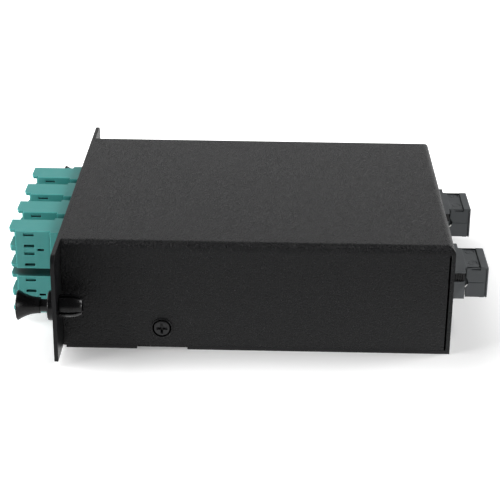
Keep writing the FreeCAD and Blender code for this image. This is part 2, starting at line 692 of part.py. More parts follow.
# ---------------------------------------------------------------- fibres
def rounded_tube(label, corners, radius):
    """A tube along straight runs joined by tangent arcs; prints its tightest bend."""
    points = [V(*corner) for corner in corners]
    edges = []
    start = points[0]
    tightest = 1e9
    length = 0.0
    for before, corner, after in zip(points, points[1:], points[2:]):
        back = (before - corner).normalize()
        ahead = (after - corner).normalize()
        turn = math.pi - back.getAngle(ahead)
        reach = 0.45 * min((before - corner).Length, (after - corner).Length)
        bend = reach / math.tan(turn / 2)
        first = corner + back * reach
        last = corner + ahead * reach
        centre_way = (back + ahead).normalize()
        middle = corner + centre_way * (bend / math.cos(turn / 2) - bend)
        edges.append(Part.makeLine(start, first))
        edges.append(Part.Arc(first, middle, last).toShape())
        length += (first - start).Length + bend * turn
        tightest = min(tightest, bend)
        start = last
    edges.append(Part.makeLine(start, points[-1]))
    length += (points[-1] - start).Length
    path = Part.Wire(edges)
    along = (points[1] - points[0]).normalize()
    ring = Part.Wire([Part.makeCircle(radius, points[0], along)])
    tube = path.makePipeShell([ring], True, False)
    expected = math.pi * radius ** 2 * length
    if abs(tube.Volume - expected) > 0.02 * expected:
        raise RuntimeError("%s has the wrong volume" % label)
    print("%s: length %.1f, tightest bend %.1f" % (label, length, tightest))
    feature = doc.addObject("Part::Feature", label)
    feature.Shape = tube
    feature.Label = label
    place(feature)
    return feature


def block_y(side_columns):
    """Middle of the two columns of adapters that share a fan-out block."""
    return "(column_first + %s * column_pitch)" % (sum(side_columns) / len(side_columns))


def make_pigtail(name, y, z, lane, level, block_centre):
    """Fibre from a boot to its hole in the fan-out block."""
    x0 = value(boot_start() + " + boot_length")
    x3 = value("block_front")
    run = 0.27 * (x3 - x0)
    y0 = value(y + " + " + FERRULE)
    y1 = value("%s + %s * block_lane" % (block_centre, lane))
    z0 = value(z)
    z1 = value("block_first + %d * block_pitch" % level)
    return rounded_tube(name, [(x0, y0, z0), (x0 + run, y0, z0), (x3 - run, y1, z1),
                               (x3, y1, z1)], value("pigtail_diameter / 2"))


def make_trunk(side, sign, y, levels):
    """Slack loop from a fan-out block once round the spool and out to the rear plug."""
    centre = value("spool_back")
    loop = value("spool_radius + loop_gap + trunk_diameter / 2")
    corner = loop / math.cos(math.pi / 8)
    out = int(sign)
    start = V(value("block_front + block_length"), value(y) + out * value("block_exit_side"),
              value("block_exit"))
    end = V(value("body_depth + %s - trunk_plug_length - trunk_boot_length" % PLUG_FRONT),
            value(trunk_y(sign)), value("trunk_height"))
    points = [start, start + V(6, 0, 0), start + V(14, 0.35 * out, levels[0])]
    for step, level in enumerate(levels[1:]):
        turn = math.radians(-67.5 + 45.0 * step)
        points.append(V(centre + corner * math.cos(turn), -out * corner * math.sin(turn), level))
    points.append(V(centre - 12.0, end.y - 2.0 * out, levels[-1] + 2.5))
    points.append(end - V(9, 0, 0))
    points.append(end)
    return rounded_tube("trunk_fibre_" + side, points, value("trunk_diameter / 2"))


def make_fan_out_block(side, y):
    """Block where the trunk splits into eight fibres, standing on the base."""
    half = "block_width / 2"
    body = new_body("fan_out_block_" + side)
    extrude(body, "housing", "XY_Plane", "sheet", "sheet + block_height",
            [("block_front", "block_front + block_length", "-" + half, half)])
    round_edges(body, "upright_edges", "1", lambda box, length: near(length, "block_height"))
    extrude(body, "foot", "XY_Plane", "sheet", "sheet + 1.2",
            [("block_front + 1", "block_front + block_length - 1",
              "-%s - 1.5" % half, half + " + 1.5")])
    place(body, "0", y, "0")
    return body


# ---------------------------------------------------------------- rear adapters
def make_rear_adapter(side, sign):
    """Multi-fibre adapter, local X from the back wall's outer face."""
    body = new_body("rear_adapter_" + side)
    half_y = "rear_body_width / 2"
    half_z = "rear_body_height / 2"
    extrude(body, "flange", "YZ_Plane", "0", "sheet",
            [("-rear_flange_width / 2", "rear_flange_width / 2",
              "-rear_flange_height / 2", "rear_flange_height / 2")])
    extrude(body, "stub", "YZ_Plane", "0", "rear_body_depth",
            [("-" + half_y, half_y, "-" + half_z, half_z)])
    extrude(body, "near_block", "YZ_Plane", "0", "rear_body_depth",
            [("-rear_flange_width / 2", "-%s + 0.5" % half_y, "-%s + 1" % half_z, half_z)])
    extrude(body, "far_block", "YZ_Plane", "0", "rear_body_depth - 0.5",
            [(half_y + " - 0.5", "rear_flange_width / 2", "-%s + 1" % half_z, half_z)])
    extrude(body, "inner_end", "YZ_Plane", "-rear_inner_depth", "0",
            [("-rear_inner_width / 2", "rear_inner_width / 2",
              "-rear_inner_height / 2", "rear_inner_height / 2")])
    extrude(body, "brow", "YZ_Plane", "rear_body_depth", "rear_body_depth + clip_sheet + 0.35",
            [("-" + half_y, half_y, "snout_height / 2", half_z)])
    extrude(body, "snout", "YZ_Plane", "0", "snout_depth",
            [("-snout_width / 2", "snout_width / 2", "-snout_height / 2", "snout_height / 2")])
    pocket(body, "clip_window", "YZ_Plane", "sheet", "rear_body_depth",
           [("-rear_flange_width / 2 - 1", "-%s - 0.4" % half_y, "1.6", half_z + " - 0.45")])
    web = "(-2.5)"
    mouth = ("-bore_width / 2", "bore_width / 2", "-bore_height / 2", "bore_height / 2")
    pocket(body, "outer_bore", "YZ_Plane", web + " + 1", "snout_depth", [mouth])
    pocket(body, "inner_bore", "YZ_Plane", "-rear_inner_depth", web, [mouth])
    pocket(body, "ferrule_window", "YZ_Plane", web, web + " + 1", [("-3.4", "3.4", "-1.4", "1.4")])
    place(body, "body_depth", trunk_y(sign), "trunk_height")
    return body


def make_rear_clip(side, sign):
    """Bright spring strap under the snout, one end curled out beside the cap's cheek."""
    body = new_body("rear_adapter_clip_" + side)
    inner_y = "(snout_width / 2 + 0.02)"
    outer_y = "(%s + clip_sheet)" % inner_y
    inner_z = "(-snout_height / 2 - 0.02)"
    outer_z = "(%s - clip_sheet)" % inner_z
    top = "(%s + 1.6)" % inner_z
    extrude(body, "strap", "YZ_Plane", "rear_body_depth + 0.05", "rear_body_depth + 0.6",
            [[("-" + outer_y, outer_z), (outer_y, outer_z), (outer_y, top), (inner_y, top),
              (inner_y, inner_z), ("-" + inner_y, inner_z), ("-" + inner_y, top),
              ("-%s - 0.45" % outer_y, top + " + 0.25"), ("-%s - 0.6" % outer_y, top),
              ("-" + outer_y, top + " - 0.3")]])
    place(body, "body_depth", trunk_y(sign), "trunk_height")
    return body


def make_dust_cap(side, sign):
    """Hood cap: solid end, four thin panels round the snout and a tongue in its bore."""
    body = new_body("dust_cap_" + side)
    half_y = "cap_width / 2"
    half_z = "cap_height / 2"
    rim = "(cap_end - cap_rim)"
    front = "(rear_body_depth + clip_sheet + 0.4)"
    panel_z = "(%s - cap_step)" % half_z
    inside_y = "(snout_width / 2 + cap_fit)"
    extrude(body, "rim", "YZ_Plane", rim, "cap_end", [("-" + half_y, half_y, "-" + half_z, half_z)])
    round_edges(body, "rim_edges", "0.35",
                lambda box, length: near(box.XMin, "cap_end") and near(box.XMax, "cap_end"))
    extrude(body, "hood", "YZ_Plane", front, rim,
            [("-" + half_y, half_y, "-" + panel_z, panel_z)])
    for name, low, high in (("left_cheek", "-" + half_y, "-" + inside_y),
                            ("right_cheek", inside_y, half_y)):
        extrude(body, name, "YZ_Plane", front, rim,
                [(low, high, "-%s + 0.1" % half_z, half_z + " - 0.1")])
    pocket(body, "hollow", "YZ_Plane", front, rim + " - 0.4",
           [("-" + inside_y, inside_y, "-snout_height / 2 - cap_fit",
             "snout_height / 2 + cap_fit")])
    for name, sign_z in (("upper_slits", "1"), ("lower_slits", "-1")):
        z = sorted((sign_z + " * (snout_height / 2)", sign_z + " * (%s + 1)" % half_z), key=value)
        pocket(body, name, "YZ_Plane", front + " + 0.6", rim,
               [("-" + inside_y, "-%s + 0.3" % inside_y, z[0], z[1]),
                (inside_y + " - 0.3", inside_y, z[0], z[1])])
    extrude(body, "tongue", "YZ_Plane", "1.5", rim,
            [("-bore_width / 2 + 0.15", "bore_width / 2 - 0.15",
              "-bore_height / 2 + 0.15", "bore_height / 2 - 0.15")])
    place(body, "body_depth", trunk_y(sign), "trunk_height")
    return body


def make_trunk_plug(side, sign):
    """Inner multi-fibre plug with its ferrule window and the pull sleeve's ribs."""
    body = new_body("trunk_plug_" + side)
    half_y = "trunk_plug_width / 2"
    half_z = "trunk_plug_height / 2"
    extrude(body, "housing", "YZ_Plane", PLUG_FRONT + " - trunk_plug_length", PLUG_FRONT,
            [("-" + half_y, half_y, "-" + half_z, half_z)])
    round_edges(body, "long_edges", "0.8", lambda box, length: near(length, "trunk_plug_length"))
    pocket(body, "ferrule_seat", "YZ_Plane", PLUG_FRONT + " - 7", PLUG_FRONT,
           [("-3.25", "3.25", "-1.3", "1.3")])
    place(body, "body_depth", trunk_y(sign), "trunk_height")
    return body


def make_trunk_boot(side, sign):
    end = "(%s - trunk_plug_length)" % PLUG_FRONT
    boot = rod("trunk_boot_" + side, "1.6", (end + " - trunk_boot_length", end), "0", "0",
               wide="2.9")
    boot.Label = "trunk_boot_" + side
    place(boot, "body_depth + %s - trunk_boot_length" % end, trunk_y(sign), "trunk_height")
    return boot


def make_trunk_ferrule(side, sign):
    body = block("trunk_ferrule_" + side, (PLUG_FRONT + " - 7", PLUG_FRONT + " + 1.2"),
                 ("-3.2", "3.2"), ("-1.25", "1.25"))
    place(body, "body_depth + %s - 7" % PLUG_FRONT, trunk_y(sign) + " - 3.2",
          "trunk_height - 1.25")
    return body


# ---------------------------------------------------------------- spool
def make_spool():
    """Drum with four fingers that keep the slack loops down, screwed to the base's stud."""
    body = new_body("fibre_spool")
    top = "sheet + spool_height"
    revolve(body, "drum", [
        ("sheet + 0.05", "3.1"), ("sheet + 0.05", "spool_radius"), (top, "spool_radius"),
        (top, "spool_radius - 1.4"), ("sheet + 1.5", "spool_radius - 1.4"),
        ("sheet + 1.5", "5"), ("sheet + 4.4", "5"), ("sheet + 4.4", "screw_shank / 2 + 0.2"),
        ("sheet + 3.1", "screw_shank / 2 + 0.2"), ("sheet + 3.1", "3.1")], x_axis=False)
    reach = "(spool_radius + spool_finger)"
    width = "2.5"
    extrude(body, "fingers", "XY_Plane", top + " - 1.2", top,
            [("spool_radius - 1.2", reach, "-" + width, width),
             ("-" + reach, "-spool_radius + 1.2", "-" + width, width)])
    place(body, "spool_back", "0", "0")
    return body


# ---------------------------------------------------------------- build
parts = [make_base(), make_cover()]
for side, sign in SIDES:
    parts.append(make_grommet(side, sign))
    parts.append(make_plunger(side, sign))
    parts.append(make_rear_adapter(side, sign))
    parts.append(make_rear_clip(side, sign))
    parts.append(make_dust_cap(side, sign))
    parts.append(make_trunk_plug(side, sign))
    parts.append(make_trunk_boot(side, sign))
parts.append(group("trunk_ferrules", [make_trunk_ferrule(*side) for side in SIDES]))

clips, sleeves, ferrules, boots = [], [], [], []
for number, column, row, y, z in adapter_spots():
    parts.append(make_lc_adapter(number, y, z))
    clips.append(make_adapter_clip(number, y, z))
    plugs, fibres = [], []
    centre = block_y((0, 1) if column < 2 else (2, 3))
    for index, port in enumerate(PORTS):
        tag = "%d_%d" % (number, index + 1)
        spot = z + " + " + port_z(port)
        sleeves.append(make_sleeve("sleeve_" + tag, y, spot))
        ferrules.append(make_ferrule("ferrule_" + tag, y, spot))
        plugs.append(make_inner_plug("plug_" + tag, y, spot))
        boots.append(make_boot("boot_" + tag, y, spot))
        fibres.append(make_pigtail("pigtail_" + tag, y, spot, column % 2 - 0.5,
                                   2 * row + index, centre))
    parts.append(group("lc_plugs_%d" % number, plugs))
    parts.append(group("pigtails_%d" % number, fibres))
parts.append(group("lc_adapter_clips", clips))
parts.append(group("split_sleeves", sleeves))
parts.append(group("lc_ferrules", ferrules))
parts.append(group("lc_boots", boots))
parts.append(group("cover_screws", [
    make_pan_screw("cover_screw_" + side, "screw_back", sign + " * " + WALL, "screw_height",
                   FreeCAD.Rotation(V(0, 0, 1), 90 * int(sign)))
    for side, sign in SIDES]))
parts.append(make_spool())
parts.append(make_pan_screw("spool_screw", "spool_back", "0", "sheet + 4.4",
                            FreeCAD.Rotation(V(0, 1, 0), -90)))
TRUNK_LEVELS = {"left": (0.0, 4, 4, 4, 4, 4, 4.5, 6.5),
                "right": (4.0, 12, 12, 12, 12, 12, 12, 12.3)}
for (side, sign), columns in zip(SIDES, ((0, 1), (2, 3))):
    parts.append(make_fan_out_block(side, block_y(columns)))
    parts.append(make_trunk(side, sign, block_y(columns), TRUNK_LEVELS[side]))
doc.recompute()

# ---------------------------------------------------------------- checks and files
for item in doc.Objects:
    if "Invalid" in item.State or "Error" in item.State:
        raise RuntimeError("%s failed: %s" % (item.Label, item.State))
os.makedirs("parts", exist_ok=True)
for part in parts:
    if part.Shape.isNull() or not part.Shape.isValid():
        raise RuntimeError("%s has no valid shape" % part.Label)
for part in parts:
    part.Shape.exportStep("parts/%s.step" % part.Label)
print("%d sub-parts" % len(parts))
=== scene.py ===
import math

import bmesh
import bpy
from mathutils import Matrix, Vector


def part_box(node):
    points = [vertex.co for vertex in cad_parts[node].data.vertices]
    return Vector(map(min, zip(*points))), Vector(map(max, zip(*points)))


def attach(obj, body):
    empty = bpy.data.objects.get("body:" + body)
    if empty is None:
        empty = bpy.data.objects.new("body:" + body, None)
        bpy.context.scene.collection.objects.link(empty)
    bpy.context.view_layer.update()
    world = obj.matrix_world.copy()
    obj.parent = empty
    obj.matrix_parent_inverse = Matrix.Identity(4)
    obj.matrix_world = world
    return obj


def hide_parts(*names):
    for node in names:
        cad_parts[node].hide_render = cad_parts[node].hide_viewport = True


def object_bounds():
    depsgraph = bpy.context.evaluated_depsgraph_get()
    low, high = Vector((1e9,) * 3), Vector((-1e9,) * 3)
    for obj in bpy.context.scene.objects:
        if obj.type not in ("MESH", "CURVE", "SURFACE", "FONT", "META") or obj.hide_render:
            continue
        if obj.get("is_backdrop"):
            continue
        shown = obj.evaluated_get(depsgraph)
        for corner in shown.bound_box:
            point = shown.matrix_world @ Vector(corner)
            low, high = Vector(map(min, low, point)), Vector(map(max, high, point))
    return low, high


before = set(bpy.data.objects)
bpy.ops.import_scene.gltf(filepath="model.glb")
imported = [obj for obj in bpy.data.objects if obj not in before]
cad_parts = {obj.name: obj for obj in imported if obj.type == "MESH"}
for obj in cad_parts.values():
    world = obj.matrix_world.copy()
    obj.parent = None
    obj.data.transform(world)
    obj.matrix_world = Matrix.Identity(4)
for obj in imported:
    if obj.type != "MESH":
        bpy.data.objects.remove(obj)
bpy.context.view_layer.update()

# ---- Base sheet with the front plate
# One blank of 1.2 mm steel, cut, folded up at the front and powder coated black. The coat is a
# fine sand texture, with a painted highlight that makes its edges lighter.
COAT_BLACK = (0.0055, 0.0056, 0.0062)
COAT_GRAIN = 0.0004
COAT_ROUGHNESS = 0.31


def new_material(name, colour, roughness, metallic=0.0, specular=0.5):
    material = bpy.data.materials.new(name)
    material.use_nodes = True
    shader = material.node_tree.nodes["Principled BSDF"]
    shader.inputs["Base Color"].default_value = (*colour, 1)
    shader.inputs["Roughness"].default_value = roughness
    shader.inputs["Metallic"].default_value = metallic
    shader.inputs["Specular IOR Level"].default_value = specular
    return material


def grain(material, size, detail=2.0, stretch=(1, 1, 1)):
    """Noise whose grains are about size across, in metres, drawn out along an axis by stretch."""
    nodes, links = material.node_tree.nodes, material.node_tree.links
    place = nodes.new("ShaderNodeTexCoord")
    mapping = nodes.new("ShaderNodeMapping")
    mapping.inputs["Scale"].default_value = [1 / along for along in stretch]
    noise = nodes.new("ShaderNodeTexNoise")
    noise.inputs["Scale"].default_value = 1 / size
    noise.inputs["Detail"].default_value = detail
    links.new(place.outputs["Object"], mapping.inputs["Vector"])
    links.new(mapping.outputs["Vector"], noise.inputs["Vector"])
    return noise.outputs["Fac"]


def add_bump(material, height, depth):
    """Raises the surface by depth, in metres, where height is 1, on top of any earlier bump."""
    nodes, links = material.node_tree.nodes, material.node_tree.links
    bump = nodes.new("ShaderNodeBump")
    bump.inputs["Distance"].default_value = depth
    bump.inputs["Strength"].default_value = 1.0
    normal = nodes["Principled BSDF"].inputs["Normal"]
    if normal.is_linked:
        links.new(normal.links[0].from_socket, bump.inputs["Normal"])
    links.new(height, bump.inputs["Height"])
    links.new(bump.outputs["Normal"], normal)


def soften_edges(material, radius):
    """Light catches every edge as if it were rounded by radius, in metres."""
    nodes, links = material.node_tree.nodes, material.node_tree.links
    bevel = nodes.new("ShaderNodeBevel")
    bevel.samples = 6
    bevel.inputs["Radius"].default_value = radius
    links.new(bevel.outputs["Normal"], nodes["Principled BSDF"].inputs["Normal"])
    return bevel.outputs["Normal"]


def ranged(nodes, links, height, start, end, low, high, easing="LINEAR"):
    """Maps height, as it goes from start to end, to a value that goes from low to high."""
    scale = nodes.new("ShaderNodeMapRange")
    scale.interpolation_type = easing
    for name, amount in zip(("From Min", "From Max", "To Min", "To Max"), (start, end, low, high)):
        scale.inputs[name].default_value = amount
    links.new(height, scale.inputs["Value"])
    return scale.outputs["Result"]


def edge_share(material, softened):
    """0 on open faces, rising towards 1 where the softened normal turns away at an edge."""
    nodes, links = material.node_tree.nodes, material.node_tree.links
    flat = nodes.new("ShaderNodeNewGeometry")
    dot = nodes.new("ShaderNodeVectorMath")
    dot.operation = "DOT_PRODUCT"
    links.new(softened, dot.inputs[0])
    links.new(flat.outputs["Normal"], dot.inputs[1])
    return ranged(nodes, links, dot.outputs["Value"], 0.995, 0.8, 0.0, 1.0)


def vary(material, socket, height, stops):
    """Drives a shader input by height through stops of (position, number or colour)."""
    nodes, links = material.node_tree.nodes, material.node_tree.links
    ramp = nodes.new("ShaderNodeValToRGB")
    for number, (position, stop) in enumerate(stops):
        colour = stop if isinstance(stop, tuple) else (stop, stop, stop)
        elements = ramp.color_ramp.elements
        element = elements[number] if number < 2 else elements.new(position)
        element.position = position
        element.color = (*colour, 1)
    links.new(height, ramp.inputs["Fac"])
    links.new(ramp.outputs["Color"], nodes["Principled BSDF"].inputs[socket])


def shade(colour, share):
    return tuple(min(1.0, share * part) for part in colour)


def powder_coat(name, colour, depth, speckle):
    material = new_material(name, colour, COAT_ROUGHNESS, specular=0.22)
    edges = edge_share(material, soften_edges(material, 0.00025))
    # Painted highlight: the bevel mask makes the coat's edges lighter in colour.
    vary(material, "Base Color", edges, [(0.0, colour), (1.0, shade(colour, 2.2))])
    sand = grain(material, COAT_GRAIN, 4.0)
    vary(material, "Roughness", sand,
         [(0.38, COAT_ROUGHNESS - speckle), (0.62, COAT_ROUGHNESS + speckle)])
    add_bump(material, sand, depth)
    return material


def finish(node, material):
    """Gives a sub-part of the frame its finish."""
    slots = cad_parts[node].data.materials
    slots.clear()
    slots.append(material)


finish("base_and_front_plate", powder_coat("base_sheet_coat", COAT_BLACK, 0.00014, 0.02))

# ---- Cover
# A second blank of the same sheet, folded down at both sides and at the back, with open seams at
# the back corners. It slides over the base and two screws hold it.
finish("cover", powder_coat("cover_sheet_coat", COAT_BLACK, 0.00032, 0.06))

# ---- Cover screws
# Two M3 screws with low cross-recess heads, each in a raised skirt, cold headed in steel and
# blackened. They pull the cover's side walls against the tabs of the base sheet.
HEAD_RADIUS = 0.00235
HEAD_RISE = 0.0006
SKIRT_RADIUS = 0.00302
SKIRT_WIDTH = 0.00012
CROSS_REACH = 0.0018
CROSS_WIDTH = 0.00085
CROSS_DEPTH = 0.001


def turned(outline, segments=64):
    """A shape turned about Z, its (height, radius) points closed on the axis or on themselves."""
    shape = bmesh.new()
    verts = [shape.verts.new((radius, 0, height)) for height, radius in outline]
    edges = [shape.edges.new(pair) for pair in zip(verts, verts[1:])]
    bmesh.ops.spin(shape, geom=verts + edges, cent=(0, 0, 0), axis=(0, 0, 1), angle=math.tau,
                   steps=segments, use_merge=True)
    bmesh.ops.remove_doubles(shape, verts=shape.verts, dist=1e-7)
    bmesh.ops.recalc_face_normals(shape, faces=shape.faces)
    return shape


def quarter(start, end, bulge_first, steps=6):
    """Points of a quarter ellipse between two (height, radius) points, without the first."""
    points = []
    for step in range(1, steps + 1):
        angle = math.pi / 2 * step / steps
        first, second = math.sin(angle), 1 - math.cos(angle)
        if not bulge_first:
            first, second = second, first
        points.append((start[0] + (end[0] - start[0]) * first,
                       start[1] + (end[1] - start[1]) * second))
    return points


def move(shape, matrix):
    bmesh.ops.transform(shape, matrix=matrix, verts=shape.verts)
    return shape


def joined(shapes):
    """One shape that holds them all."""
    whole = bmesh.new()
    for shape in shapes:
        mesh = bpy.data.meshes.new("part")
        shape.to_mesh(mesh)
        shape.free()
        whole.from_mesh(mesh)
        bpy.data.meshes.remove(mesh)
    return whole


def carved(shape, cutter, crossed=False):
    """The shape less the cutter, whose own parts may be crossed."""
    holders = []
    for part in (shape, cutter):
        mesh = bpy.data.meshes.new("part")
        part.to_mesh(mesh)
        part.free()
        holders.append(bpy.data.objects.new("part", mesh))
        bpy.context.scene.collection.objects.link(holders[-1])
    cut = holders[0].modifiers.new("cut", "BOOLEAN")
    cut.operation, cut.solver = "DIFFERENCE", "EXACT"
    cut.use_self, cut.object = crossed, holders[1]
    depsgraph = bpy.context.evaluated_depsgraph_get()
    mesh = bpy.data.meshes.new_from_object(holders[0].evaluated_get(depsgraph))
    result = bmesh.new()
    result.from_mesh(mesh)
    bpy.data.meshes.remove(mesh)
    for holder in holders:
        bpy.data.meshes.remove(holder.data)
    return result


def add_piece(name, shape, material, body, slot, *nodes):
    """Hangs a finished shape on a body, in place of the sub-parts that it stands for."""
    mesh = bpy.data.meshes.new(name)
    shape.to_mesh(mesh)
    shape.free()
    mesh.shade_smooth()
    mesh.set_sharp_from_angle(angle=math.radians(32))
    mesh.materials.append(material)
    piece = bpy.data.objects.new(name, mesh)
    bpy.context.scene.collection.objects.link(piece)
    even = piece.modifiers.new("even shading of flat faces", "WEIGHTED_NORMAL")
    even.keep_sharp = True
    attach(piece, body)
    if nodes:
        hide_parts(*nodes)


def screw_head():
    """A low head in a raised skirt about Z = 0, its cross recess tapering inwards."""
    shoulder = (HEAD_RISE * 0.7, HEAD_RADIUS)
    skirt = SKIRT_RADIUS - SKIRT_WIDTH
    head = turned([(-CROSS_DEPTH, 0), (-CROSS_DEPTH, SKIRT_RADIUS),
                   (HEAD_RISE * 0.75, SKIRT_RADIUS), (HEAD_RISE * 0.8, skirt), (0, skirt),
                   (0, HEAD_RADIUS), shoulder]
                  + quarter(shoulder, (HEAD_RISE, HEAD_RADIUS * 0.86), True) + [(HEAD_RISE, 0)])
    arms = []
    for turn in (0, math.pi / 2):
        arm = bmesh.new()
        bmesh.ops.create_cone(arm, cap_ends=True, segments=4, radius1=0.5, radius2=1.0, depth=1.0)
        size = Matrix.Diagonal((CROSS_REACH * math.sqrt(2), CROSS_WIDTH / math.sqrt(2),
                                CROSS_DEPTH * 1.1, 1))
        arms.append(move(arm, Matrix.Translation((0, 0, HEAD_RISE - CROSS_DEPTH * 0.45))
                         @ Matrix.Rotation(turn, 4, "Z") @ size
                         @ Matrix.Rotation(math.pi / 4, 4, "Z")))
    return carved(head, joined(arms), crossed=True)


black_steel = new_material("blackened_steel", (0.016, 0.016, 0.017), 0.36, 0.3, 0.4)
soften_edges(black_steel, 0.00012)
vary(black_steel, "Roughness", grain(black_steel, 0.0012), [(0.3, 0.34), (0.7, 0.46)])
add_bump(black_steel, grain(black_steel, 0.0005), 0.00002)
screws_low, screws_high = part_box("cover_screws")
wall_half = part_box("cover")[1][1]
heads = []
for side in (-1, 1):
    place = ((screws_low[0] + screws_high[0]) / 2, side * wall_half,
             (screws_low[2] + screws_high[2]) / 2)
    heads.append(move(screw_head(), Matrix.Translation(place)
                      @ Matrix.Rotation(-side * math.pi / 2, 4, "X")))
add_piece("cover_screw_heads", joined(heads), black_steel, "cassette", "cover_screw",
          "cover_screws")

# ---- Latches
# A nylon grommet with four split legs is pushed through each ear. A plunger with a trumpet-shaped
# knob slides in it and spreads the legs behind the rack's panel when it is pushed home.
FLANGE_RADIUS = 0.0045
FLANGE_DEPTH = 0.0019
EAR_SHEET = 0.0012
LEG_REACH = 0.0082
LEG_NECK = 0.00305
LEG_BELLY = 0.0035
LEG_TIP = 0.00268
LEG_BORE = 0.002
LEG_CHAMBER = 0.0024
LEG_GAP = math.radians(15)
LEG_TURN = math.radians(16.5)
KNOB_RADIUS = 0.0045
KNOB_NECK = 0.00245
KNOB_LENGTH = 0.0068
PIN_RADIUS = 0.0019
COLLAR_RADIUS = 0.0023
COLLAR_DEPTH = 0.001
COLLAR_EASE = 0.0002
DOME_RISE = 0.00035


def moulded(name, colour, roughness, edge=0.00012, edge_highlight=1.25, grain_depth=0.00001, specular=0.5):
    """Moulded plastic, finely eroded and gently uneven in gloss, with a painted highlight on its
    edges.
    """
    material = new_material(name, colour, roughness, specular=specular)
    edges = edge_share(material, soften_edges(material, edge))
    # Painted highlight: edges lighter in colour by the edge_highlight factor.
    vary(material, "Base Color", edges, [(0.0, colour), (1.0, shade(colour, edge_highlight))])
    vary(material, "Roughness", grain(material, 0.004),
         [(0.3, roughness - 0.05), (0.7, roughness + 0.05)])
    add_bump(material, grain(material, 0.0003), grain_depth)
    return material


def grommet():
    """Flange, neck and four bellied legs along +Z, the ear's front face at Z = 0."""
    rim = 0.0004
    front = -FLANGE_DEPTH
    ring = turned([(front, LEG_BORE), (front, FLANGE_RADIUS - rim)]
                  + quarter((front, FLANGE_RADIUS - rim), (front + rim, FLANGE_RADIUS), False)
                  + [(0, FLANGE_RADIUS), (0, LEG_NECK), (EAR_SHEET, LEG_NECK),
                     (EAR_SHEET, LEG_BORE), (front, LEG_BORE)])
    belly = [(EAR_SHEET + (LEG_REACH - EAR_SHEET) * share, radius) for share, radius in
             ((0.0, LEG_NECK), (0.05, LEG_BELLY * 0.97), (0.2, LEG_BELLY), (0.5, LEG_BELLY),
              (0.62, LEG_BELLY * 0.985), (0.75, LEG_BELLY * 0.93), (0.87, LEG_BELLY * 0.835),
              (0.96, LEG_TIP), (1.0, LEG_TIP - 0.00022))]
    inside = [(LEG_REACH, LEG_CHAMBER), (LEG_REACH - 0.0038, LEG_CHAMBER),
              (LEG_REACH - 0.0042, LEG_BORE), (EAR_SHEET, LEG_BORE)]
    legs = []
    for number in range(4):
        leg = bmesh.new()
        face = leg.faces.new([leg.verts.new((radius, 0, height))
                              for height, radius in belly + inside])
        start = number * math.pi / 2 + LEG_GAP / 2 + LEG_TURN
        bmesh.ops.spin(leg, geom=list(face.edges) + list(face.verts) + [face],
                       cent=(0, 0, 0), axis=(0, 0, 1), angle=math.pi / 2 - LEG_GAP, steps=14)
        bmesh.ops.recalc_face_normals(leg, faces=leg.faces)
        legs.append(move(leg, Matrix.Rotation(start, 4, "Z")))
    return joined([ring] + legs)


def plunger(neck, pin_end):
    """Trumpet knob, pin and collar along +Z; neck is the knob's thin end and pin_end the tip."""
    face = neck - KNOB_LENGTH
    flare = []
    for step in range(13):
        share = step / 12
        flare.append((face + KNOB_LENGTH * (0.06 + 0.94 * share),
                      KNOB_NECK + (KNOB_RADIUS - KNOB_NECK) * (1 - share) ** 2.1))
    dome = [(face - DOME_RISE * (1 - share ** 2), (KNOB_RADIUS - 0.0003) * share)
            for share in (0, 0.25, 0.5, 0.75, 1)]
    collar = pin_end - COLLAR_DEPTH
    return turned(dome + quarter(dome[-1], flare[0], False, 4) + flare[1:]
                  + [(neck, PIN_RADIUS), (collar, PIN_RADIUS), (collar, COLLAR_RADIUS),
                     (pin_end - COLLAR_EASE, COLLAR_RADIUS),
                     (pin_end, COLLAR_RADIUS - COLLAR_EASE), (pin_end, 0)])


nylon = moulded("black_nylon", (0.005, 0.005, 0.0055), 0.27, edge_highlight=2.5, specular=0.3)
plate_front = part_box("base_and_front_plate")[0][0]
for side in ("left", "right"):
    low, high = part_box("latch_plunger_" + side)
    axis = Matrix.Translation((plate_front, (low[1] + high[1]) / 2, (low[2] + high[2]) / 2)) \
        @ Matrix.Rotation(math.pi / 2, 4, "Y")
    add_piece("grommet_" + side, move(grommet(), axis), nylon, "cassette", "grommet",
              "latch_grommet_" + side)
    neck = low[0] + DOME_RISE + KNOB_LENGTH - plate_front
    add_piece("plunger_" + side, move(plunger(neck, high[0] - plate_front), axis), nylon,
              "latch_pin_" + side, "plunger", "latch_plunger_" + side)

# ---- LC adapters
# Eight duplex adapters moulded in aqua plastic, snapped into the front plate in two rows of four.
# Spring clips hold them; inside, a slit ceramic sleeve lines up the two ferrules of each port.
AQUA = (0.068, 0.35, 0.33)
ADAPTER_EASE = 0.0001
ADAPTER_HALF = 0.0047
PORT_OFFSET = 0.003125
SLOT_OFFSET = 0.00187
SLOT_HALF = 0.00043
SLOT_START = 0.0049
SLOT_END = 0.00805
SLOT_DEPTH = 0.0026
CUT_PAST = 0.001
CLIP_STEEL = (0.62, 0.62, 0.60)


def box_between(low, high):
    shape = bmesh.new()
    bmesh.ops.create_cube(shape, size=1)
    size = Matrix.Diagonal([b - a for a, b in zip(low, high)] + [1])
    middle = Matrix.Translation([(a + b) / 2 for a, b in zip(low, high)])
    return move(shape, middle @ size)


def copied(node):
    """A sub-part's own shape with its triangles merged into whole faces."""
    shape = bmesh.new()
    shape.from_mesh(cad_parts[node].data)
    bmesh.ops.remove_doubles(shape, verts=shape.verts, dist=1e-6)
    bmesh.ops.dissolve_limit(shape, angle_limit=math.radians(0.5), verts=shape.verts,
                             edges=shape.edges)
    return shape


def eased(shape, radius):
    """The shape with its sharp edges rounded."""
    sharp = [edge for edge in shape.edges
             if edge.is_manifold and edge.calc_face_angle() > math.radians(40)]
    bmesh.ops.bevel(shape, geom=sharp, offset=radius, offset_type="OFFSET", segments=2,
                    profile=0.5, affect="EDGES", clamp_overlap=False, material=-1)
    return shape


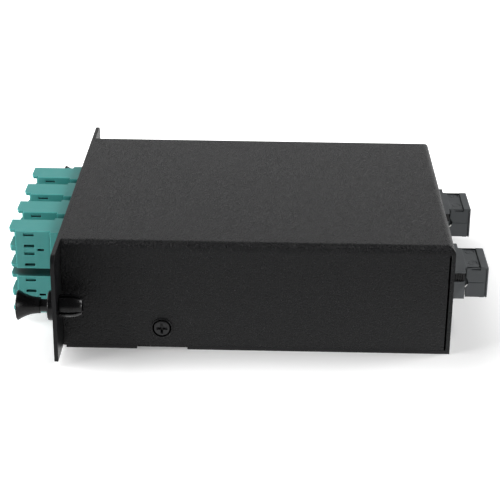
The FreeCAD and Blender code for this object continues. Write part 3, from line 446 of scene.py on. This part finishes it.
def paint_shade_in_hollows(material, reach, share):
    """Painted shade: slots and inside corners narrower than reach, in metres, fall to a share of
    the colour.
    """
    nodes, links = material.node_tree.nodes, material.node_tree.links
    colour = nodes["Principled BSDF"].inputs["Base Color"]
    open_sky = nodes.new("ShaderNodeAmbientOcclusion")
    open_sky.samples = 8
    open_sky.inputs["Distance"].default_value = reach
    scaled = nodes.new("ShaderNodeVectorMath")
    scaled.operation = "SCALE"
    links.new(colour.links[0].from_socket, scaled.inputs[0])
    links.new(ranged(nodes, links, open_sky.outputs["AO"], 0.42, 0.78, share, 1.0),
              scaled.inputs["Scale"])
    links.new(scaled.outputs["Vector"], colour)


aqua = moulded("aqua_plastic", AQUA, 0.42, 0.00028, 2.6)
glowing = aqua.node_tree.nodes["Principled BSDF"].inputs
glowing["Subsurface Weight"].default_value = 0.25
glowing["Subsurface Radius"].default_value = (0.35, 1.0, 0.9)
glowing["Subsurface Scale"].default_value = 0.0008
# Painted shade in the aqua's slots, ports and the gaps between adapters.
paint_shade_in_hollows(aqua, 0.004, 0.03)
clip_steel = new_material("spring_steel", CLIP_STEEL, 0.26, 1.0)
vary(clip_steel, "Roughness", grain(clip_steel, 0.0006, 2.0, (8, 1, 1)), [(0.3, 0.2), (0.7, 0.34)])
ceramic = moulded("white_ceramic", (0.80, 0.80, 0.77), 0.16, 0.00004, 1.05)
soft_aqua = moulded("soft_aqua_rubber", (0.06, 0.28, 0.26), 0.62, 0.0002)
for number in range(1, 9):
    adapter = "lc_adapter_%d" % number
    low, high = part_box(adapter)
    latch_face = (low[1] + high[1]) / 2 - ADAPTER_HALF
    slots = []
    for port in (-PORT_OFFSET, PORT_OFFSET):
        for along in (port - SLOT_OFFSET, port + SLOT_OFFSET):
            middle = (low[2] + high[2]) / 2 + along
            slots.append(box_between(
                (low[0] + SLOT_START, latch_face - CUT_PAST, middle - SLOT_HALF),
                (low[0] + SLOT_END, latch_face + SLOT_DEPTH, middle + SLOT_HALF)))
    add_piece("duplex_adapter_%d" % number,
              eased(carved(copied(adapter), joined(slots)), ADAPTER_EASE), aqua, "cassette",
              "lc_adapter", adapter)
    finish("lc_plugs_%d" % number, aqua)
finish("lc_adapter_clips", clip_steel)
finish("split_sleeves", ceramic)
finish("lc_ferrules", ceramic)
finish("lc_boots", soft_aqua)

# ---- Fibres and their fan-out
# Aqua buffered pigtails run from the LC plugs to two potted fan-out blocks, and from each block a
# ribbon tube goes once round the nylon spool to its multi-fibre plug.
fibre_jacket = moulded("aqua_jacket", (0.09, 0.42, 0.39), 0.45, 0.00005)
potting = moulded("black_potting", (0.03, 0.03, 0.03), 0.5, 0.0002)
natural_nylon = moulded("natural_nylon", (0.70, 0.70, 0.66), 0.42, 0.0002, 1.05)
for number in range(1, 9):
    finish("pigtails_%d" % number, fibre_jacket)
for side in ("left", "right"):
    finish("fan_out_block_" + side, potting)
    finish("trunk_fibre_" + side, fibre_jacket)
    finish("trunk_plug_" + side, aqua)
    finish("trunk_boot_" + side, soft_aqua)
finish("trunk_ferrules", potting)
finish("fibre_spool", natural_nylon)
finish("spool_screw", clip_steel)

# ---- Rear adapters
# Two multi-fibre adapters of dark grey plastic, held in the back wall by their flanges, and on
# each mouth a hood cap with a tongue. A steel strap under the mouth springs out beside the cap.
GREY = (0.085, 0.093, 0.098)
MARK_RADIUS = 0.0015
MARK_PLACES = (-0.0032, 0.0052)
MARK_BACK = 0.0046
MARK_LINE = 0.0002
CAP_LENGTH = 0.0068
CAP_RIM = 0.0024
CAP_STEP = 0.00035
LEDGE = 0.0001
SEAM = 0.0004
SEAM_START = 0.0014
SEAM_DEPTH = 0.00045
GROOVE_WIDTH = 0.0003
GROOVE_DEPTH = 0.0001
GROOVE_CUTTER = 0.0002
GROOVE_STOP = 0.0007
PART_LINE = 0.00016
PART_LINE_START = 0.0009
PART_LINE_STOP = 0.001
RIM_LINE = (0.0009, 0.0005)
RIM_LINE_STOP = 0.0004
NOTCH_RADIUS = 0.0019
NOTCH_BACK = 0.00115
NOTCH_DROP = 0.0001
NOTCH_CUTTER = 0.003
STRAP_SHEET = 0.0003
SPRING_WIDTH = 0.0005
SPRING_INSET = 0.0001
BLOCK_REACH = 0.011
KEY_BACK = (0.0044, 0.00075)
KEY_INSET = (0.0009, 0.0028)
KEY_RISE = (0.00161, 0.00454)
RIBS = 5
RIBS_BACK = 0.0043
RIBS_SPAN = 0.0035
RIB_WIDTH = 0.0003
RIB_INSET = (0.0004, 0.00095)
RIB_RISE = (0.00165, 0.0045)


def ejector_mark():
    """What an ejector pin cuts out of a face at Z = 0: a narrow ring about a small pit."""
    outer, inner = MARK_RADIUS, MARK_RADIUS - MARK_LINE
    ring = turned([(CUT_PAST, outer), (-MARK_LINE, outer), (-MARK_LINE, inner),
                   (CUT_PAST, inner), (CUT_PAST, outer)], 40)
    pit = turned([(CUT_PAST, 0), (CUT_PAST, MARK_LINE), (-MARK_LINE, MARK_LINE),
                  (-MARK_LINE, 0)], 16)
    return joined([ring, pit])


def spring_end(near, axis):
    """The curled end of the strap: a crescent of sheet standing up from the near face."""
    crescent = bmesh.new()
    outline = [(radius, math.radians(turn)) for radius, turns in
               ((NOTCH_RADIUS, range(-75, -20, 6)),
                (NOTCH_RADIUS - STRAP_SHEET, range(-21, -76, -6)))
               for turn in turns]
    face = crescent.faces.new([crescent.verts.new((axis[0] + radius * math.cos(turn), near,
                                                   axis[1] + radius * math.sin(turn)))
                               for radius, turn in outline])
    raised = bmesh.ops.extrude_face_region(crescent, geom=[face])
    far = [part for part in raised["geom"] if isinstance(part, bmesh.types.BMVert)]
    bmesh.ops.translate(crescent, vec=(0, SPRING_WIDTH, 0), verts=far)
    bmesh.ops.recalc_face_normals(crescent, faces=crescent.faces)
    return crescent


grey = moulded("dark_grey_plastic", GREY, 0.5, 0.0002, 1.5, 0.00003)
for side in ("left", "right"):
    low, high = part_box("dust_cap_" + side)
    middle_y, middle_z = (low[1] + high[1]) / 2, (low[2] + high[2]) / 2
    mouth, rim = high[0] - CAP_LENGTH, high[0] - CAP_RIM
    panel_top = high[2] - CAP_STEP
    notch_axis = (mouth - NOTCH_BACK, middle_z - NOTCH_DROP)
    notch = move(turned([(0, 0), (0, NOTCH_RADIUS), (NOTCH_CUTTER, NOTCH_RADIUS),
                         (NOTCH_CUTTER, 0)]),
                 Matrix.Translation((notch_axis[0], low[1] - CUT_PAST, notch_axis[1]))
                 @ Matrix.Rotation(-math.pi / 2, 4, "X"))
    cutters = [move(ejector_mark(),
                    Matrix.Translation((high[0] - MARK_BACK, middle_y + along, panel_top)))
               for along in MARK_PLACES]
    cutters += [notch, box_between(
        (rim - GROOVE_WIDTH, low[1] - CUT_PAST, panel_top - GROOVE_DEPTH),
        (rim, high[1] - GROOVE_STOP, panel_top + GROOVE_CUTTER))]
    for face in (low[1], high[1]):
        cutters.append(box_between(
            (mouth + SEAM_START, face - SEAM_DEPTH, panel_top - LEDGE - SEAM),
            (rim, face + SEAM_DEPTH, panel_top - LEDGE)))
        cutters.append(box_between(
            (mouth + PART_LINE_START, face - PART_LINE, middle_z - PART_LINE / 2),
            (high[0] - PART_LINE_STOP, face + PART_LINE, middle_z + PART_LINE / 2)))
        cutters.append(box_between(
            (high[0] - RIM_LINE[0], face - SEAM_DEPTH, low[2] - CUT_PAST),
            (high[0] - RIM_LINE[1], face + SEAM_DEPTH, high[2] - RIM_LINE_STOP)))
    cap = carved(copied("dust_cap_" + side), joined(cutters), crossed=True)
    add_piece("hood_cap_" + side, cap, grey, "cassette", "dust_cap", "dust_cap_" + side)
    add_piece("multi_fibre_adapter_" + side, copied("rear_adapter_" + side), grey, "cassette",
              "rear_adapter", "rear_adapter_" + side)
    near = middle_y - BLOCK_REACH
    ribs = [box_between((mouth - KEY_BACK[0], near + KEY_INSET[0], middle_z + KEY_RISE[0]),
                        (mouth - KEY_BACK[1], near + KEY_INSET[1], middle_z + KEY_RISE[1]))]
    for number in range(RIBS):
        start = mouth - RIBS_BACK + number * RIBS_SPAN / RIBS
        ribs.append(box_between(
            (start, near + RIB_INSET[0], middle_z + RIB_RISE[0]),
            (start + RIB_WIDTH, near + RIB_INSET[1], middle_z + RIB_RISE[1])))
    add_piece("ribbed_key_" + side, joined(ribs), nylon, "cassette", "rear_adapter")
    strap = joined([copied("rear_adapter_clip_" + side),
                    spring_end(low[1] + SPRING_INSET, notch_axis)])
    add_piece("cap_strap_" + side, strap, clip_steel, "cassette", "clip_steel",
              "rear_adapter_clip_" + side)

# ---- Studio
# A white floor just under the base that keeps the cassette's shadow and turns to plain white
# further out, two large softboxes, two small ones low in front, and a room bright only behind.
FLOOR_HALF = 6.0
UNDER_BASE = 0.00003
FOOTPRINT = (0.0515, 0.047, 0)
FOOTPRINT_MIDDLE = (0.0075, 0, 0)
SHADOW_REACH = 0.045
floor_mesh = bpy.data.meshes.new("floor")
sheet = bmesh.new()
bmesh.ops.create_grid(sheet, x_segments=1, y_segments=1, size=FLOOR_HALF,
                      matrix=Matrix.Translation((0, 0, -UNDER_BASE)))
sheet.to_mesh(floor_mesh)
floor = bpy.data.objects.new("floor", floor_mesh)
bpy.context.scene.collection.objects.link(floor)
floor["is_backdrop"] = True


def worked(nodes, links, operation, first, second):
    """The result of one sum, each side a number or a socket."""
    node = nodes.new("ShaderNodeMath")
    node.operation = operation
    for socket, amount in zip(node.inputs, (first, second)):
        if isinstance(amount, float):
            socket.default_value = amount
        else:
            links.new(amount, socket)
    return node.outputs["Value"]


floor_paint = bpy.data.materials.new("floor_paint")
floor_paint.use_nodes = True
nodes, links = floor_paint.node_tree.nodes, floor_paint.node_tree.links
nodes.clear()
paint = nodes.new("ShaderNodeBsdfDiffuse")
paint.inputs["Color"].default_value = (0.85, 0.85, 0.85, 1)
away = nodes.new("ShaderNodeTexCoord").outputs["Object"]
for operation, amount in (("SUBTRACT", FOOTPRINT_MIDDLE), ("ABSOLUTE", None),
                          ("SUBTRACT", FOOTPRINT), ("MAXIMUM", (0, 0, 0)), ("LENGTH", None)):
    step = nodes.new("ShaderNodeVectorMath")
    step.operation = operation
    links.new(away, step.inputs[0])
    if amount:
        step.inputs[1].default_value = amount
    away = step.outputs["Value" if operation == "LENGTH" else "Vector"]
rays = nodes.new("ShaderNodeLightPath")
looked_at = worked(nodes, links, "MULTIPLY",
                   ranged(nodes, links, away, 0.004, SHADOW_REACH, 0.2, 1.0, "SMOOTHSTEP"),
                   rays.outputs["Is Camera Ray"])
# Painted reflection: next to the cassette the floor glows for glossy rays only, so the walls
# reflect a bright floor with no shadow.
reflected_glow = worked(nodes, links, "MULTIPLY",
                  ranged(nodes, links, away, 0.0, SHADOW_REACH, 0.75, 0.05, "SMOOTHSTEP"),
                  rays.outputs["Is Glossy Ray"])
glow = nodes.new("ShaderNodeEmission")
glow.inputs["Color"].default_value = (1, 1, 1, 1)
links.new(worked(nodes, links, "ADD", looked_at, reflected_glow), glow.inputs["Strength"])
both = nodes.new("ShaderNodeAddShader")
links.new(paint.outputs["BSDF"], both.inputs[0])
links.new(glow.outputs["Emission"], both.inputs[1])
links.new(both.outputs["Shader"], nodes.new("ShaderNodeOutputMaterial").inputs["Surface"])
floor_mesh.materials.append(floor_paint)

room = bpy.data.worlds.new("room")
bpy.context.scene.world = room
room.use_nodes = True
nodes, links = room.node_tree.nodes, room.node_tree.links
nodes.clear()
way = nodes.new("ShaderNodeSeparateXYZ")
links.new(nodes.new("ShaderNodeTexCoord").outputs["Generated"], way.inputs["Vector"])
low_down = ranged(nodes, links, way.outputs["Z"], 0.26, 0.6, 1.0, 0.0, "SMOOTHSTEP")
behind = ranged(nodes, links, way.outputs["Y"], 0.0, 0.5, 0.0, 1.0, "SMOOTHSTEP")
glow = worked(nodes, links, "MULTIPLY", worked(nodes, links, "MULTIPLY", low_down, behind), 0.72)
rays = nodes.new("ShaderNodeLightPath")
strength = worked(nodes, links, "MAXIMUM", worked(nodes, links, "ADD", glow, 0.05),
                  rays.outputs["Is Camera Ray"])
sky = nodes.new("ShaderNodeBackground")
sky.inputs["Color"].default_value = (1, 1, 1, 1)
links.new(strength, sky.inputs["Strength"])
links.new(sky.outputs["Background"], nodes.new("ShaderNodeOutputWorld").inputs["Surface"])


def softbox(name, place, size, watts):
    lamp = bpy.data.lights.new(name, "AREA")
    lamp.shape = "RECTANGLE"
    lamp.size = lamp.size_y = size
    lamp.energy = watts
    holder = bpy.data.objects.new(name, lamp)
    holder.location = place
    holder.rotation_euler = (-Vector(place)).to_track_quat("-Z", "Y").to_euler()
    bpy.context.scene.collection.objects.link(holder)


softbox("left_softbox", (-1.4, 0.2, 1.3), 0.9, 18)
softbox("right_softbox", (1.4, 0.2, 1.3), 0.9, 23)
softbox("left_fill", (-1.7, -0.8, 0.35), 0.6, 30)
softbox("right_fill", (1.7, -0.8, 0.35), 0.6, 12)

# ---- Camera
# A long lens, a little above the cassette and in front of its left side.
camera = bpy.data.cameras.new("camera")
camera.sensor_width = 36.0
camera.lens = 107.37
camera.clip_start, camera.clip_end = 0.05, 20.0
stand = bpy.data.objects.new("camera", camera)
stand.matrix_world = (Matrix.Translation((0.004272, -0.450212, 0.208616))
                      @ Matrix.Rotation(math.radians(0.9285), 4, "Z")
                      @ Matrix.Rotation(math.radians(90 - 23.499), 4, "X")
                      @ Matrix.Rotation(math.radians(0.6336), 4, "Z"))
bpy.context.scene.collection.objects.link(stand)
bpy.context.scene.camera = stand
bpy.context.scene.view_settings.view_transform = "Standard"

low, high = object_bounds()
